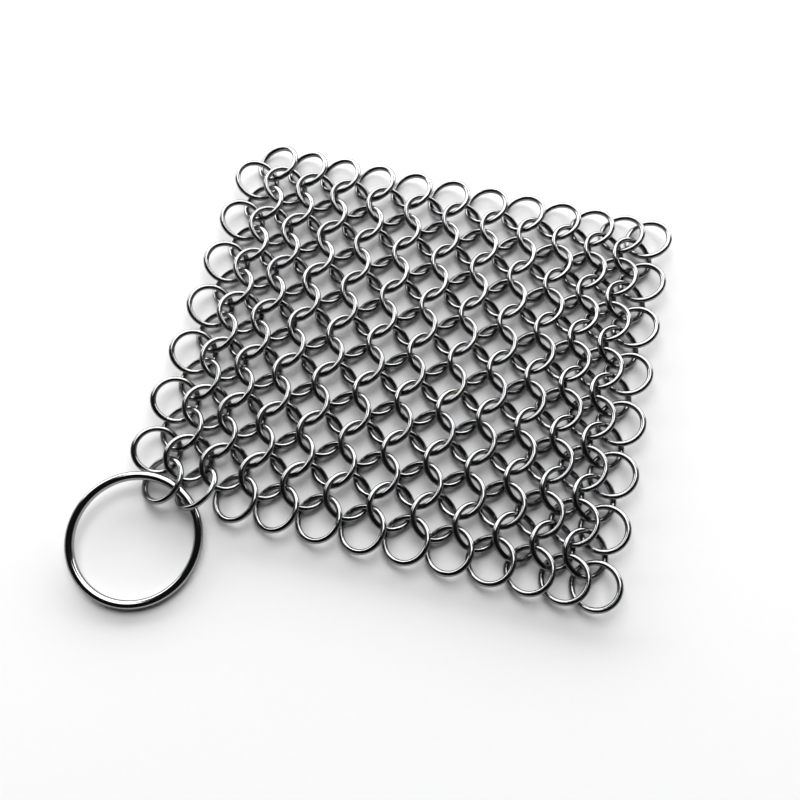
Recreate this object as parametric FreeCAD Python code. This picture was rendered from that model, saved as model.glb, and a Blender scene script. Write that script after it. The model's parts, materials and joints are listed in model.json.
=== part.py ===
"""Pot scrubber of linked steel rings: a square net of small rings, with a larger ring at one corner to hang it by.

Each small ring of a row passes through two rings of the row before it and two of the row after it. The rows lean
to the right and to the left in turn, like roof tiles, and the net lies on the floor at z = 0. Rings that stand
one behind the other, in every second row, make a column. +X runs along the rows and +Y towards the far edge.
The origin is on the floor, in the middle of the whole footprint.
"""
import FreeCAD, Part
import math
import os

# Driving dimensions, in millimetres and degrees

# The small rings and their number
wire = 1.2                # thickness of the wire
ring_inner = 8.0          # clear hole of a ring
row_count = 15            # rows, from the far edge to the near edge
rings_per_row = 12

# How the net lies
link_slack = 0.74         # two linked rings lie this much closer than when they are pulled tight
link_clearance = 0.13     # air between two linked rings where the net lies most open
spread = 38.3             # angle between a link and its column where the net lies most open
gather = 8.3              # how much that opening fades from one ring of a row to the next, as an angle
open_offset = -0.5        # place of the most open column, in rings from the middle of the row

# The hanging ring
hang_wire = 1.8           # thickness of its wire
hang_inner = 23.4         # clear hole
hang_uphill = 119.0       # bearing in which its plane rises, from +X
thread_bearing = 58.6     # bearing from its centre to the place where the corner rings hold it
thread_along = 1.4        # that place, along the row from midway between the two corner rings
thread_below = 1.8        # and towards the near side from the last row
thread_room = 0.82        # air between it and a small wire that lies on the floor

# The two corner rings that hold it stand steeper than the rest
outer_corner_room = 1.15  # height inside the outer corner ring that the two wires leave free
inner_corner_room = 2.08  # the same in the inner corner ring
outer_corner_tip = 1.2    # how far the near side of the outer corner ring is tipped up
inner_corner_tip = 14.2   # the same at the inner corner ring

# Worked out from these

ring_radius = (ring_inner + wire) / 2
link_length = ring_inner - link_slack
open_pitch = 2 * link_length * math.sin(math.radians(spread))
row_spacing = link_length * math.cos(math.radians(spread))
column_count = 2 * rings_per_row


class Ring:
    """A ring of round wire that rests on the floor, with a plane that rises by the given slopes along X and Y."""

    def __init__(self, x, y, slope_x, slope_y, inner, thickness):
        self.wire_radius = thickness / 2
        self.radius = inner / 2 + self.wire_radius
        self.normal = FreeCAD.Vector(-slope_x, -slope_y, 1).normalize()
        rise = self.radius * math.hypot(self.normal.x, self.normal.y)
        self.centre = FreeCAD.Vector(x, y, rise + self.wire_radius)

    def reach(self, across):
        """Half of the ring's extent along an axis, from its normal's share of that axis."""
        return self.radius * math.sqrt(1 - across ** 2) + self.wire_radius

    def gap_to(self, other, steps=240):
        """Least air between the two wires, measured from points on the other ring."""
        first = other.normal.cross(FreeCAD.Vector(0, 1, 0)).normalize()
        second = other.normal.cross(first)
        distances = []
        for step in range(steps):
            turn = 2 * math.pi * step / steps
            point = other.centre + (first * math.cos(turn) + second * math.sin(turn)) * other.radius
            offset = point - self.centre
            height = offset.dot(self.normal)
            distances.append(math.hypot(height, (offset - self.normal * height).Length - self.radius))
        return min(distances) - self.wire_radius - other.wire_radius

    def solid(self, shift):
        return Part.makeTorus(self.radius, self.wire_radius, self.centre + shift, self.normal)


def small_ring(x, y, slope_x, slope_y=0.0):
    return Ring(x, y, slope_x, slope_y, ring_inner, wire)


def slope_for_rise(rise):
    """Slope of a small ring whose high side stands this much above its low side."""
    return math.tan(math.asin(rise / (2 * ring_radius)))


def least_slope():
    """The flattest that the rings can lie: two linked ones just keep their clearance."""
    flat, steep = math.tan(math.radians(5)), math.tan(math.radians(45))
    for halving in range(40):
        slope = (flat + steep) / 2
        if small_ring(0, 0, slope).gap_to(small_ring(open_pitch / 2, row_spacing, -slope)) < link_clearance:
            flat = slope
        else:
            steep = slope
    return steep


def column_place(column):
    """X of a column: the rings lie furthest apart at the most open column and gather towards both sides."""
    fade = math.radians(gather)
    return open_pitch / fade * math.sin(fade * ((column - (column_count - 1) / 2) / 2 - open_offset))


def row_place(row):
    return row_spacing * ((row_count - 1) / 2 - row)


def make_columns(slope):
    """Columns from left to right. The first and every second one lean with their left sides up."""
    columns = []
    for column in range(column_count):
        left_up = column % 2 == 0
        rows = range(1 if left_up else 0, row_count, 2)
        columns.append([small_ring(column_place(column), row_place(row), -slope if left_up else slope) for row in rows])
    return columns


def make_hanging_ring(outer_corner, inner_corner):
    """Lies with its lowest point on the floor and rises towards the net, through the two corner rings."""
    radius = (hang_inner + hang_wire) / 2
    thread_rise = wire + thread_room
    bearing, uphill = math.radians(thread_bearing), math.radians(hang_uphill)
    tilt = math.asin(thread_rise / (radius * (1 + math.cos(bearing - uphill))))
    thread_x = (outer_corner.centre.x + inner_corner.centre.x) / 2 + thread_along
    thread_y = outer_corner.centre.y - thread_below
    return Ring(thread_x - radius * math.cos(bearing), thread_y - radius * math.sin(bearing),
                math.tan(tilt) * math.cos(uphill), math.tan(tilt) * math.sin(uphill), hang_inner, hang_wire)


def make_corner_ring(column, room, tip):
    """A ring of the last row that holds the hanging ring between its low and its high side."""
    return small_ring(column_place(column), row_place(row_count - 1),
                      slope_for_rise(wire + hang_wire + room), -math.tan(math.radians(tip)))


columns = make_columns(least_slope())
groups = {f"column_{number:02d}": rings for number, rings in enumerate(columns, start=1)}

# The last rings of the first, second and fourth column make the corner: the hanging ring lies on the first of them
# and passes through the other two
edge_ring = columns[0].pop()
columns[1].pop()
columns[3].pop()
outer_corner = make_corner_ring(1, outer_corner_room, outer_corner_tip)
inner_corner = make_corner_ring(3, inner_corner_room, inner_corner_tip)
hanging_ring = make_hanging_ring(outer_corner, inner_corner)
groups["edge_corner_ring"] = [edge_ring]
groups["outer_corner_ring"] = [outer_corner]
groups["inner_corner_ring"] = [inner_corner]
groups["hanging_ring"] = [hanging_ring]

# The footprint's middle goes to the origin
every_ring = [ring for rings in groups.values() for ring in rings]
left = min(ring.centre.x - ring.reach(ring.normal.x) for ring in every_ring)
right = max(ring.centre.x + ring.reach(ring.normal.x) for ring in every_ring)
near = min(ring.centre.y - ring.reach(ring.normal.y) for ring in every_ring)
far = max(ring.centre.y + ring.reach(ring.normal.y) for ring in every_ring)
shift = FreeCAD.Vector(-(left + right) / 2, -(near + far) / 2, 0)

os.makedirs("parts", exist_ok=True)
for name, rings in groups.items():
    Part.makeCompound([ring.solid(shift) for ring in rings]).exportStep(f"parts/{name}.step")

print(f"{len(every_ring)} rings in {len(groups)} groups, {right - left:.2f} x {far - near:.2f} mm")
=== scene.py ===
# %% [markdown]
# # A pot scrubber of linked steel rings
# The real scrubber is a square net of small welded rings. Each ring passes through its neighbours, so the net
# drapes like cloth, and a larger ring through one corner hangs it up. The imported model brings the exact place
# of every ring and the joints of the net. This lesson dresses it: it measures the rings, winds new wire along
# them with Geometry Nodes, and gives the wire a polished steel finish.

import json
import math

import bmesh
import bpy
import numpy as np
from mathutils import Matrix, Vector


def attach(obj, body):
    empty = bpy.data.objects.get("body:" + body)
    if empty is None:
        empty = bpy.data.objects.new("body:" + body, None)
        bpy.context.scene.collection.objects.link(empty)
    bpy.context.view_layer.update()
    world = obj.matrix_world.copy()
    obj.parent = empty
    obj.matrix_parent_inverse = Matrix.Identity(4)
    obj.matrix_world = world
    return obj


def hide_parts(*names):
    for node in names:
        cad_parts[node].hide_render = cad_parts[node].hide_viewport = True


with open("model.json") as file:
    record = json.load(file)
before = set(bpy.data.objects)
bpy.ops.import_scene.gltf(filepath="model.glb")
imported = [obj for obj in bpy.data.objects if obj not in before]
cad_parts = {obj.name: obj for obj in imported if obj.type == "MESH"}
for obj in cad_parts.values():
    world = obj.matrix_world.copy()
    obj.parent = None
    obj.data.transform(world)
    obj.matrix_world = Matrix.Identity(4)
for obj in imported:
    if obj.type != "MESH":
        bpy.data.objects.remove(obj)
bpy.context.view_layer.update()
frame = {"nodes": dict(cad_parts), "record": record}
MM = 0.001

# %% [markdown]
# ## Measure the rings
# A net can be rebuilt from formulas, or from the solids themselves. Measuring is safer: whatever the solids
# say, the new wire lies on them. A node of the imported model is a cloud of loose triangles, so a merged copy
# of it is walked from point to point, and every walk that comes to an end is one ring. The points of a ring
# lie evenly around it, so their mean is its centre, the flattest direction of them is its normal, the mean
# reach along its plane is its radius, and the reach across the plane gives the wire's radius.

# %% Take the rings of a node apart
MERGE_DISTANCE = 0.001 * MM


def separate_rings(mesh):
    """Lists of points, one list for each ring in the mesh."""
    cloud = bmesh.new()
    cloud.from_mesh(mesh)
    bmesh.ops.remove_doubles(cloud, verts=cloud.verts, dist=MERGE_DISTANCE)
    left = set(cloud.verts)
    rings = []
    while left:
        walk = [left.pop()]
        for point in walk:
            fresh = {edge.other_vert(point) for edge in point.link_edges} & left
            left -= fresh
            walk.extend(fresh)
        rings.append(np.array([point.co for point in walk], float))
    cloud.free()
    return sorted(rings, key=lambda points: points[:, 1].mean())


body_nodes = frame["record"]["behaviour"]["bodies"]
ring_points = {body: [points for node in nodes for points in separate_rings(frame["nodes"][node].data)]
               for body, nodes in body_nodes.items()}

# %% Measure every ring
HANGING_BODY = "hanging_ring"


def measure_ring(points):
    """Centre, normal, ring radius and wire radius of one ring."""
    centre = points.mean(axis=0)
    offsets = points - centre
    normal = np.linalg.svd(offsets, full_matrices=False)[2][2]
    if normal[2] < 0:
        normal = -normal
    heights = offsets @ normal
    reaches = np.linalg.norm(offsets - np.outer(heights, normal), axis=1)
    wire = math.sqrt(2 * (heights ** 2).mean())
    return {"centre": centre, "normal": normal, "radius": float(reaches.mean()), "wire": wire}


body_rings = {body: [measure_ring(points) for points in rings] for body, rings in ring_points.items()}
hanging = body_rings[HANGING_BODY][0]
columns = sorted(body for body in body_rings if body != HANGING_BODY)
net_rings = [ring for body in columns for ring in body_rings[body]]
small_radius = float(np.median([ring["radius"] for ring in net_rings]))
small_wire = float(np.median([ring["wire"] for ring in net_rings]))
sizes = {"small": (small_radius, small_wire), "hanging": (hanging["radius"], hanging["wire"])}
for kind, (radius, wire) in sizes.items():
    across = round(2 * (radius + wire) / MM, 2)
    print(kind, "ring", across, "mm across, of", round(2 * wire / MM, 2), "mm wire")

# %% [markdown]
# ## One wire ring, many places
# All the links are the same shape, so one node tree makes them. A circle is swept along a circle, and the
# sweep grows a little at one point, where the two ends of the wire were welded. Each ring is placed on a
# measured point, tipped to its measured normal, and spun about its own middle by a seeded random angle, so
# that the welds do not line up. Two attributes go to the finish: the place of each point in its own ring, and
# one random number per ring.

# %% Help with node trees
def add_inputs(tree, inputs):
    """Adds named inputs to a node tree, each with its kind and a starting value."""
    for name, kind, value in inputs:
        socket = tree.interface.new_socket(name=name, in_out="INPUT", socket_type=f"NodeSocket{kind}")
        if value is not None:
            socket.default_value = value


def put(tree, socket, value):
    """Links another node's output to the socket, or sets a plain value."""
    if isinstance(value, bpy.types.NodeSocket):
        tree.links.new(value, socket)
    else:
        socket.default_value = value


def fill(tree, node, inputs):
    """Fills the first enabled input of each name, with spaces for underscores."""
    for name, value in inputs.items():
        label = name.replace("_", " ")
        put(tree, next(item for item in node.inputs if item.name == label and item.enabled), value)


def add_node(tree, kind, settings=None, **inputs):
    """Adds a node, sets its options, and fills its inputs."""
    node = tree.nodes.new(kind)
    for option, value in (settings or {}).items():
        setattr(node, option, value)
    fill(tree, node, inputs)
    return node


print("node helpers", [helper.__name__ for helper in (add_inputs, put, fill, add_node)])

# %% Help with sums in node trees
SMOOTH = {"interpolation_type": "SMOOTHSTEP"}


def calculate(tree, operation, *values):
    """A Math node on values or links; returns its output."""
    node = add_node(tree, "ShaderNodeMath", {"operation": operation})
    for socket, value in zip(node.inputs, values):
        put(tree, socket, value)
    return node.outputs[0]


def combine(tree, operation, first, second):
    """A Vector Math node on two vectors; returns the node."""
    node = add_node(tree, "ShaderNodeVectorMath", {"operation": operation})
    put(tree, node.inputs[0], first)
    put(tree, node.inputs[1], second)
    return node


def nearness_to_weld(tree, place, ring_radius, length):
    """1 at the weld, which lies on the ring's own X axis, fading to 0 at that length from it."""
    weld = add_node(tree, "ShaderNodeCombineXYZ", X=ring_radius).outputs[0]
    away = combine(tree, "DISTANCE", place, weld).outputs["Value"]
    return add_node(tree, "ShaderNodeMapRange", SMOOTH, Value=away, From_Min=0.0, From_Max=length,
                    To_Min=1.0, To_Max=0.0).outputs[0]


print("sum helpers", [helper.__name__ for helper in (calculate, combine, nearness_to_weld)])

# %% Sweep one ring
WELD_LENGTH = 0.9 * MM
WELD_SWELL = 0.03       # of the wire's thickness
NET_STEPS = (40, 10)       # around the ring and around the wire
PLACE_ATTRIBUTE = "ring_place"


def start_ring_tree():
    tree = bpy.data.node_groups.new("Linked_rings", "GeometryNodeTree")
    ring_steps, wire_steps = NET_STEPS
    add_inputs(tree, [("Centres", "Geometry", None), ("Ring Radius", "Float", small_radius),
                      ("Wire Radius", "Float", small_wire), ("Ring Steps", "Int", ring_steps),
                      ("Wire Steps", "Int", wire_steps), ("Weld Swell", "Float", WELD_SWELL),
                      ("Seed", "Int", 1), ("Steel", "Material", None)])
    tree.interface.new_socket(name="Rings", in_out="OUTPUT", socket_type="NodeSocketGeometry")
    return tree, tree.nodes.new("NodeGroupInput").outputs


def sweep_ring(tree, given):
    """One wire ring at the origin, a little thicker at its weld, that knows the place of each point in it."""
    circle = "GeometryNodeCurvePrimitiveCircle"
    path = add_node(tree, circle, Resolution=given["Ring Steps"], Radius=given["Ring Radius"])
    profile = add_node(tree, circle, Resolution=given["Wire Steps"], Radius=given["Wire Radius"])
    place = tree.nodes.new("GeometryNodeInputPosition").outputs[0]
    nearness = nearness_to_weld(tree, place, given["Ring Radius"], WELD_LENGTH)
    thickness = calculate(tree, "MULTIPLY_ADD", nearness, given["Weld Swell"], 1.0)
    swollen = add_node(tree, "GeometryNodeSetCurveRadius", Curve=path.outputs["Curve"], Radius=thickness)
    wire = add_node(tree, "GeometryNodeCurveToMesh", Curve=swollen.outputs[0],
                    Profile_Curve=profile.outputs["Curve"])
    smooth = add_node(tree, "GeometryNodeSetShadeSmooth", Geometry=wire.outputs[0])
    return add_node(tree, "GeometryNodeStoreNamedAttribute", {"data_type": "FLOAT_VECTOR", "domain": "POINT"},
                    Geometry=smooth.outputs[0], Name=PLACE_ATTRIBUTE, Value=place).outputs[0]


ring_tree, ring_given = start_ring_tree()
one_ring = sweep_ring(ring_tree, ring_given)
print("one ring from", len(ring_tree.nodes), "nodes")

# %% Put a ring on every centre
LEAN_ATTRIBUTE = "ring_lean"
MARK_ATTRIBUTE = "ring_mark"
MARK_SEED_STEP = 100


def spread_rings(tree, given, ring):
    """The ring on every centre, tipped, spun and marked, as plain mesh in its steel."""
    lean = add_node(tree, "GeometryNodeInputNamedAttribute", {"data_type": "FLOAT_VECTOR"},
                    Name=LEAN_ATTRIBUTE)
    tipped = add_node(tree, "FunctionNodeAlignRotationToVector", {"axis": "Z"},
                      Vector=lean.outputs["Attribute"])
    angle = add_node(tree, "FunctionNodeRandomValue", {"data_type": "FLOAT"}, Min=0.0, Max=2 * math.pi,
                     Seed=given["Seed"])
    spin = add_node(tree, "FunctionNodeAxisAngleToRotation", Axis=(0, 0, 1), Angle=angle.outputs["Value"])
    turned = add_node(tree, "FunctionNodeRotateRotation", {"rotation_space": "LOCAL"},
                      Rotation=tipped.outputs[0], Rotate_By=spin.outputs[0])
    links = add_node(tree, "GeometryNodeInstanceOnPoints", Points=given["Centres"], Instance=ring,
                     Rotation=turned.outputs[0])
    mark = add_node(tree, "FunctionNodeRandomValue", {"data_type": "FLOAT"}, Min=0.0, Max=1.0,
                    Seed=calculate(tree, "ADD", given["Seed"], MARK_SEED_STEP))
    marked = add_node(tree, "GeometryNodeStoreNamedAttribute", {"data_type": "FLOAT", "domain": "INSTANCE"},
                      Geometry=links.outputs[0], Name=MARK_ATTRIBUTE, Value=mark.outputs["Value"])
    real = add_node(tree, "GeometryNodeRealizeInstances", Geometry=marked.outputs[0])
    dressed = add_node(tree, "GeometryNodeSetMaterial", Geometry=real.outputs[0], Material=given["Steel"])
    return dressed.outputs[0]


all_rings = spread_rings(ring_tree, ring_given, one_ring)
ring_tree.links.new(all_rings, ring_tree.nodes.new("NodeGroupOutput").inputs[0])
ring_inputs = {item.name: item.identifier for item in ring_tree.interface.items_tree
               if item.in_out == "INPUT"}
print("ring tree with", len(ring_tree.nodes), "nodes and inputs", list(ring_inputs))

# %% [markdown]
# ## The finish of drawn and tumbled wire
# Stainless wire is pulled through a die, which leaves hair-fine lines along it. The finished net is tumbled
# bright, so the rings carry tiny rub marks, and a faint straw tint stays at each weld. Lines and marks could
# be painted, but a pattern worked out from the place in the ring follows the bend of the wire and costs no
# picture. All three effects are node groups, because the net and the hanging ring share them with different
# values.

# %% Lines along the wire
LINE_FINENESS = 9000.0
SLOWNESS = 0.03       # how quickly the noise changes along the wire, as a share of the change across it


def start_group(name, inputs, output):
    """An empty shader group; returns it with its given inputs and the socket for its one result."""
    group = bpy.data.node_groups.new(name, "ShaderNodeTree")
    add_inputs(group, inputs)
    group.interface.new_socket(name=output, in_out="OUTPUT", socket_type="NodeSocketFloat")
    return group, group.nodes.new("NodeGroupInput").outputs, group.nodes.new("NodeGroupOutput").inputs[0]


def make_drawn_lines():
    """Fine lines along the wire: noise that is quick across the wire and slow along it."""
    inputs = [("Place", "Vector", None), ("Ring Radius", "Float", small_radius),
              ("Fineness", "Float", LINE_FINENESS)]
    group, given, result = start_group("Drawn_lines", inputs, "Lines")
    parts = add_node(group, "ShaderNodeSeparateXYZ", Vector=given["Place"]).outputs
    flat = add_node(group, "ShaderNodeCombineXYZ", X=parts["X"], Y=parts["Y"]).outputs[0]
    reach = add_node(group, "ShaderNodeVectorMath", {"operation": "LENGTH"}, Vector=flat).outputs["Value"]
    outward = calculate(group, "SUBTRACT", reach, given["Ring Radius"])
    along = calculate(group, "MULTIPLY", calculate(group, "ADD", parts["X"], parts["Y"]), SLOWNESS)
    way = add_node(group, "ShaderNodeCombineXYZ", X=outward, Y=parts["Z"], Z=along).outputs[0]
    noise = add_node(group, "ShaderNodeTexNoise", Vector=way, Scale=given["Fineness"], Detail=2.0,
                     Roughness=0.6)
    group.links.new(noise.outputs["Fac"], result)
    return group


drawn_lines = make_drawn_lines()
print("group", drawn_lines.name)

# %% Rub marks and the weld's tint
SCUFF_FINENESS = 2600.0
SCUFF_EDGE = (0.52, 0.66)       # noise values between which a scuff fades in
PATCH_FINENESS = 0.12       # of the scuffs' own fineness
PATCH_EDGE = (0.35, 0.65)       # the same for the patches that hold the scuffs
MARK_SHIFT = 7.3       # moves the pattern further in Y than in X for each ring's random number
TINT_LENGTH = 1.4 * MM


def fade_in(tree, value, edge, settings=None):
    """0 below the first value of the edge, 1 above the second."""
    start, end = edge
    node = add_node(tree, "ShaderNodeMapRange", settings, Value=value, From_Min=start, From_Max=end)
    return node.outputs[0]


def make_rub_marks():
    """Small scuffs from tumbling, in patches, from 0 on clean wire to 1."""
    inputs = [("Place", "Vector", None), ("Mark", "Float", None), ("Fineness", "Float", SCUFF_FINENESS),
              ("Amount", "Float", None)]
    group, given, result = start_group("Rub_marks", inputs, "Marks")
    shift = calculate(group, "MULTIPLY", given["Mark"], MARK_SHIFT)
    apart = add_node(group, "ShaderNodeCombineXYZ", X=given["Mark"], Y=shift).outputs[0]
    moved = combine(group, "ADD", given["Place"], apart).outputs[0]
    scuffs = add_node(group, "ShaderNodeTexNoise", Vector=moved, Scale=given["Fineness"], Detail=3.0,
                      Roughness=0.65)
    coarse = calculate(group, "MULTIPLY", given["Fineness"], PATCH_FINENESS)
    patches = add_node(group, "ShaderNodeTexNoise", Vector=moved, Scale=coarse, Detail=1.0)
    sharp = fade_in(group, scuffs.outputs["Fac"], SCUFF_EDGE, SMOOTH)
    where = fade_in(group, patches.outputs["Fac"], PATCH_EDGE)
    marks = calculate(group, "MULTIPLY", sharp, where)
    group.links.new(calculate(group, "MULTIPLY", marks, given["Amount"]), result)
    return group


def make_weld_tint():
    """A mask that is 1 at the weld and fades along the wire to both sides."""
    inputs = [("Place", "Vector", None), ("Ring Radius", "Float", small_radius),
              ("Length", "Float", TINT_LENGTH)]
    group, given, result = start_group("Weld_tint", inputs, "Tint")
    group.links.new(nearness_to_weld(group, given["Place"], given["Ring Radius"], given["Length"]), result)
    return group


rub_marks = make_rub_marks()
weld_tint = make_weld_tint()
print("groups", rub_marks.name, weld_tint.name)

# %% [markdown]
# ## Two steels
# The small rings are bright and slightly worn, and the hanging ring is thicker wire with a mirror polish.
# Both are bare metal, so the Principled shader is fully metallic and all the rest is in its colour, its
# roughness and a faint bump along the drawn lines. The edge tint is dark, so that thin wire keeps a dark
# outline on white paper. The colours are darker than real stainless steel, because the windows below are much
# brighter than the paper, and the photograph's wire is nearly black where it does not show them.

# %% A steel from its values
LINES_IN_WEAR = 0.35
RING_IN_WEAR = 0.3
TINT_STRENGTH = 0.5
BUMP_STRENGTH = 0.25
STEEL_STRAW = (0.34, 0.30, 0.24, 1)
STEEL_EDGE = (0.2, 0.2, 0.2, 1)


def place_group(tree, group, **inputs):
    node = tree.nodes.new("ShaderNodeGroup")
    node.node_tree = group
    fill(tree, node, inputs)
    return node.outputs[0]


def blend_colours(tree, share, first, second):
    node = add_node(tree, "ShaderNodeMix", {"data_type": "RGBA"}, Factor=share, A=first, B=second)
    return next(output for output in node.outputs if output.type == "RGBA" and output.enabled)


def make_steel(name, ring_radius, bright, dull, smoothest, roughest, rubbing, line_depth):
    """Polished wire: from bright to dull and from smoothest to roughest where it is more worn."""
    steel = bpy.data.materials.new(name)
    steel.use_nodes = True
    tree = steel.node_tree
    place = add_node(tree, "ShaderNodeAttribute", {"attribute_name": PLACE_ATTRIBUTE}).outputs["Vector"]
    mark = add_node(tree, "ShaderNodeAttribute", {"attribute_name": MARK_ATTRIBUTE}).outputs["Fac"]
    lines = place_group(tree, drawn_lines, Place=place, Ring_Radius=ring_radius)
    marks = place_group(tree, rub_marks, Place=place, Mark=mark, Amount=rubbing)
    weld = place_group(tree, weld_tint, Place=place, Ring_Radius=ring_radius)

    ring_wear = calculate(tree, "MULTIPLY_ADD", mark, RING_IN_WEAR, marks)
    wear = calculate(tree, "MULTIPLY_ADD", lines, LINES_IN_WEAR, ring_wear)
    metal = blend_colours(tree, wear, bright, dull)
    colour = blend_colours(tree, calculate(tree, "MULTIPLY", weld, TINT_STRENGTH), metal, STEEL_STRAW)
    roughness = add_node(tree, "ShaderNodeMapRange", Value=wear, To_Min=smoothest, To_Max=roughest).outputs[0]
    bump = add_node(tree, "ShaderNodeBump", Strength=BUMP_STRENGTH, Distance=line_depth, Height=lines)
    fill(tree, tree.nodes["Principled BSDF"], {
        "Base Color": colour, "Roughness": roughness, "Normal": bump.outputs[0], "Metallic": 1.0,
        "Specular Tint": STEEL_EDGE})
    return steel


print("straw tint", STEEL_STRAW, "edge tint", STEEL_EDGE)

# %% The steels of the net and of the hanging ring
NET_BRIGHT = (0.31, 0.31, 0.315, 1)
NET_DULL = (0.19, 0.19, 0.195, 1)
RING_BRIGHT = (0.39, 0.39, 0.395, 1)
RING_DULL = (0.26, 0.26, 0.265, 1)

net_steel = make_steel("bright_net_wire", small_radius, NET_BRIGHT, NET_DULL,
                       smoothest=0.07, roughest=0.22, rubbing=0.5, line_depth=0.006 * MM)
hanging_steel = make_steel("mirror_ring_wire", hanging["radius"], RING_BRIGHT, RING_DULL,
                           smoothest=0.06, roughest=0.20, rubbing=0.3, line_depth=0.004 * MM)
print("steels", net_steel.name, hanging_steel.name)

# %% [markdown]
# ## Wind the net, body by body
# The net folds along its columns, so each column is a body that moves alone and needs its own mesh. The
# measured centres become the points of a bare mesh with the normals as an attribute, the tree winds a ring on
# every point, and the result is kept as a plain mesh. The modifier goes before the piece is tied to its body.

# %% Wind the rings of one body
def add_object(name, data):
    thing = bpy.data.objects.new(name, data)
    bpy.context.scene.collection.objects.link(thing)
    return thing


def wind_rings(name, rings, values):
    """A mesh object with a wire ring on every measured place."""
    points = bpy.data.meshes.new(name + "_centres")
    points.from_pydata([ring["centre"] for ring in rings], [], [])
    lean = points.attributes.new(LEAN_ATTRIBUTE, "FLOAT_VECTOR", "POINT")
    lean.data.foreach_set("vector", np.array([ring["normal"] for ring in rings], np.float32).ravel())
    holder = add_object(name + "_centres", points)
    modifier = holder.modifiers.new("Wind", "NODES")
    modifier.node_group = ring_tree
    for label, value in values.items():
        modifier[ring_inputs[label]] = value
    graph = bpy.context.evaluated_depsgraph_get()
    wound = holder.evaluated_get(graph)
    mesh = bpy.data.meshes.new_from_object(wound, preserve_all_data_layers=True, depsgraph=graph)
    holder.modifiers.remove(modifier)
    bpy.data.objects.remove(holder)
    mesh.name = name
    return add_object(name, mesh)


print("rings are wound with", ring_tree.name)

# %% Make the columns
def dress_body(body, steel, seed, steps):
    """Winds all the rings of a body and puts the piece in the place of the body's solids."""
    rings = body_rings[body]
    ring_steps, wire_steps = steps
    piece = wind_rings(body + "_wire", rings, {
        "Ring Radius": rings[0]["radius"], "Wire Radius": rings[0]["wire"], "Ring Steps": ring_steps,
        "Wire Steps": wire_steps, "Weld Swell": WELD_SWELL, "Seed": seed, "Steel": steel})
    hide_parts(*body_nodes[body])
    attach(piece, body)
    return piece


net_pieces = [dress_body(body, net_steel, number, NET_STEPS)
              for number, body in enumerate(columns, start=1)]
print(len(net_pieces), "columns with", sum(len(piece.data.polygons) for piece in net_pieces), "faces")

# %% [markdown]
# ## The hanging ring
# It is the same kind of link in thicker wire, and it is the largest smooth curve of the picture, so it gets
# finer steps both ways.

# %% Make the hanging ring
HANGING_STEPS = (128, 20)
HANGING_SEED = 77

hanging_piece = dress_body(HANGING_BODY, hanging_steel, HANGING_SEED, HANGING_STEPS)
print("hanging ring with", len(hanging_piece.data.polygons), "faces")

# %% [markdown]
# ## The floor
# The scrubber lies on plain white paper. A large square would run on into the dark, so the sheet is round and
# ends while the windows still light it.

# %% Lay the paper
FLOOR_RADIUS = 0.5       # metres
FLOOR_SIDES = 96
PAPER_DARK = (0.90, 0.90, 0.90, 1)
PAPER_LIGHT = (0.92, 0.92, 0.92, 1)
FIBRE_FINENESS = 900.0


def round_sheet(name, radius, sides):
    turns = [2 * math.pi * number / sides for number in range(sides)]
    corners = [(radius * math.cos(turn), radius * math.sin(turn), 0) for turn in turns]
    mesh = bpy.data.meshes.new(name)
    mesh.from_pydata(corners, [], [range(sides)])
    return add_object(name, mesh)


def make_paper():
    paper = bpy.data.materials.new("white_paper")
    paper.use_nodes = True
    tree = paper.node_tree
    where = tree.nodes.new("ShaderNodeTexCoord").outputs["Object"]
    fibres = add_node(tree, "ShaderNodeTexNoise", Vector=where, Scale=FIBRE_FINENESS, Detail=3.0)
    white = blend_colours(tree, fibres.outputs["Fac"], PAPER_DARK, PAPER_LIGHT)
    fill(tree, tree.nodes["Principled BSDF"], {
        "Base Color": white, "Roughness": 0.9, "Specular IOR Level": 0.1})
    return paper


floor = round_sheet("floor", FLOOR_RADIUS, FLOOR_SIDES)
floor.data.materials.append(make_paper())
print("floor", [round(side, 2) for side in floor.dimensions])

# %% [markdown]
# ## The light
# Polished wire shows its surroundings, so the light is a picture that the wire carries. A long, low window
# stands beyond the net, and a smaller one hangs over it. The far sides of the wire turn white, the near sides
# stay dark, and soft shadows fall towards the viewer. The rest of the room is dim, with a pale band around
# the edge of the floor. A picture of a studio would do the same, but two lamps and a plain sky need no file.

# %% Put up the windows
LAMP_DISTANCE = 1.2       # metres from the middle of the net
FAR_WINDOW = {"bearing": 104, "elevation": 17, "size": (4.4, 0.72), "power": 68.7}
TOP_WINDOW = {"bearing": 104, "elevation": 58, "size": (1.1, 0.8), "power": 12.0}


def aim(thing, target):
    thing.rotation_euler = (Vector(target) - thing.location).to_track_quat("-Z", "Y").to_euler()


def direction(bearing, elevation):
    """Unit vector at that bearing from +X and that height above the floor, both in degrees."""
    turn, rise = math.radians(bearing), math.radians(elevation)
    return Vector((math.cos(turn) * math.cos(rise), math.sin(turn) * math.cos(rise), math.sin(rise)))


def put_up_window(name, bearing, elevation, size, power):
    """A soft lamp of that size, across and along its slope, that faces the net."""
    lamp = bpy.data.lights.new(name, "AREA")
    lamp.shape = "RECTANGLE"
    lamp.size, lamp.size_y = size
    lamp.energy = power
    window = add_object(name, lamp)
    window.location = direction(bearing, elevation) * LAMP_DISTANCE
    aim(window, (0, 0, 0))


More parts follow.
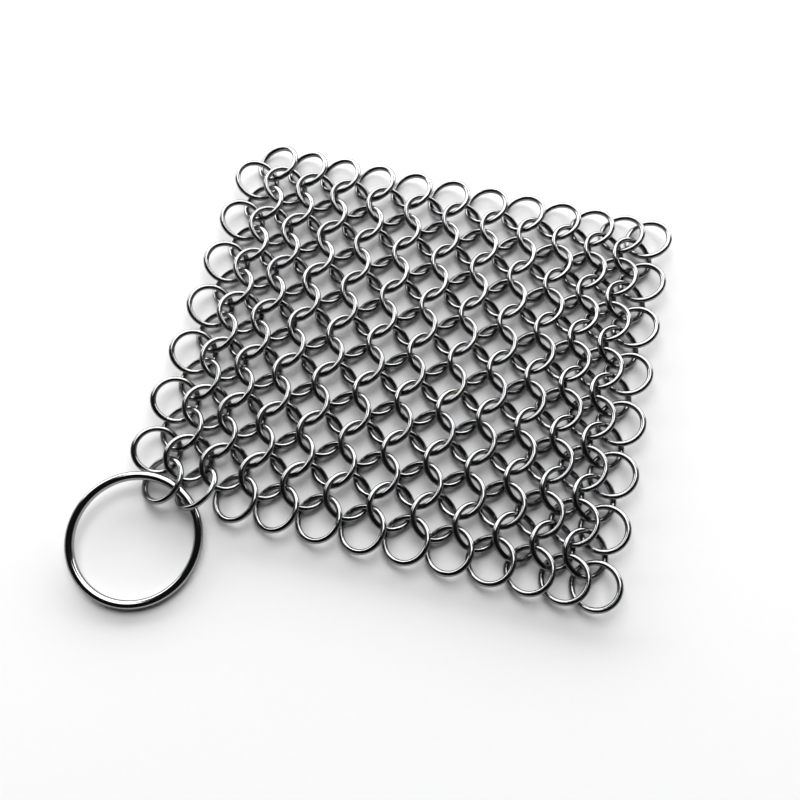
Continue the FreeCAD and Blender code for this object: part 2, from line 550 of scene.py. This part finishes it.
put_up_window("far_window", **FAR_WINDOW)
put_up_window("top_window", **TOP_WINDOW)
print("windows of", FAR_WINDOW["size"], "and", TOP_WINDOW["size"], "m")

# %% Dim the room
ROOM_LEVEL = 0.01
HORIZON_LEVEL = 0.9
HORIZON_TOP = 16       # degrees above the floor at which the pale band has faded out


def make_room():
    """A dim room with a pale band that fades upwards from the edge of the floor."""
    room = bpy.data.worlds.new("dim_room")
    room.use_nodes = True
    tree = room.node_tree
    way = tree.nodes.new("ShaderNodeTexCoord").outputs["Generated"]
    height = add_node(tree, "ShaderNodeSeparateXYZ", Vector=way).outputs["Z"]
    top = math.sin(math.radians(HORIZON_TOP))
    level = add_node(tree, "ShaderNodeMapRange", SMOOTH, Value=height, From_Min=0.0, From_Max=top,
                     To_Min=HORIZON_LEVEL, To_Max=ROOM_LEVEL).outputs[0]
    fill(tree, tree.nodes["Background"], {"Color": (1, 1, 1, 1), "Strength": level})
    return room


bpy.context.scene.world = make_room()
bpy.context.scene.view_settings.view_transform = "Standard"
print("room at", ROOM_LEVEL, "with a band of", HORIZON_LEVEL, "up to", HORIZON_TOP, "degrees")

# %% [markdown]
# ## Camera
# The photograph looks down steeply from close by, so the near rings look larger than the far ones. The
# distance and the lens were found together from the outline of the net, and the lens is given by its length
# in pixels over the 800 pixel wide picture.

# %% Set the camera
PICTURE_SIDE = 800
SENSOR_WIDTH = 36.0
NEAREST = 10 * MM       # nothing closer than this to the camera is drawn
FOCAL_PIXELS = 753.9
VIEW_BEARING = -76.25       # from +X, seen from above: the camera stands to the right of the near side
VIEW_ELEVATION = 69.62
VIEW_DISTANCE = 161.3 * MM
VIEW_TARGET = Vector((3.19 * MM, -0.36 * MM, 0))

lens = bpy.data.cameras.new("camera")
lens.sensor_width = SENSOR_WIDTH
lens.lens = FOCAL_PIXELS / PICTURE_SIDE * SENSOR_WIDTH
lens.clip_start = NEAREST
camera = add_object("camera", lens)
camera.location = VIEW_TARGET + direction(VIEW_BEARING, VIEW_ELEVATION) * VIEW_DISTANCE
aim(camera, VIEW_TARGET)
bpy.context.scene.camera = camera
print("camera at", [round(value, 4) for value in camera.location])
